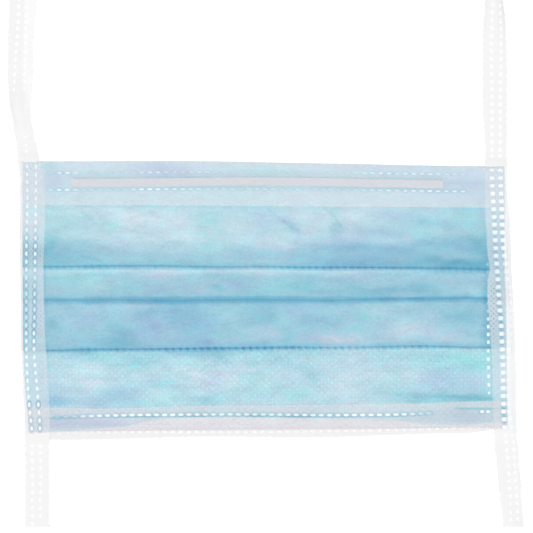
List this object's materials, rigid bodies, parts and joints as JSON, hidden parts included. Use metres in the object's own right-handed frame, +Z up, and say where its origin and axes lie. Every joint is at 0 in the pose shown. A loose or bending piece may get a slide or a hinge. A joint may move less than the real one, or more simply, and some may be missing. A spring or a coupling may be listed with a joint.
{
  "type": "surgical face mask with ties",
  "caption": "Flat pleated three-ply face mask with a nose wire, turned hems, and folded side strips that run on as ties.",
  "frame": {"origin": "middle of the mask's footprint, ties included, on the surface that it lies on", "axes": "+Z up out of the mask's blue front, +Y from the lower edge towards the nose wire, +X towards the right tie as seen from the front"},
  "size_m": [0.1886, 0.1936, 0.0085],
  "materials": {
    "outer_ply": "matt light-blue spunbond nonwoven, mottled, with a fine embossed dot pattern",
    "white_ply": "matt translucent white spunbond nonwoven",
    "tie_strip": "matt white nonwoven strip, folded and welded in two rows of dots",
    "nose_wire": "matt plastic-covered wire"
  },
  "bodies": {
    "root": {"pleated_body": "outer_ply", "top_hem": "white_ply", "nose_wire": "nose_wire", "bottom_hem": "white_ply", "lining_strip": "white_ply", "left_tie_strap": "tie_strip", "right_tie_strap": "tie_strip"}
  },
  "joints": []
}
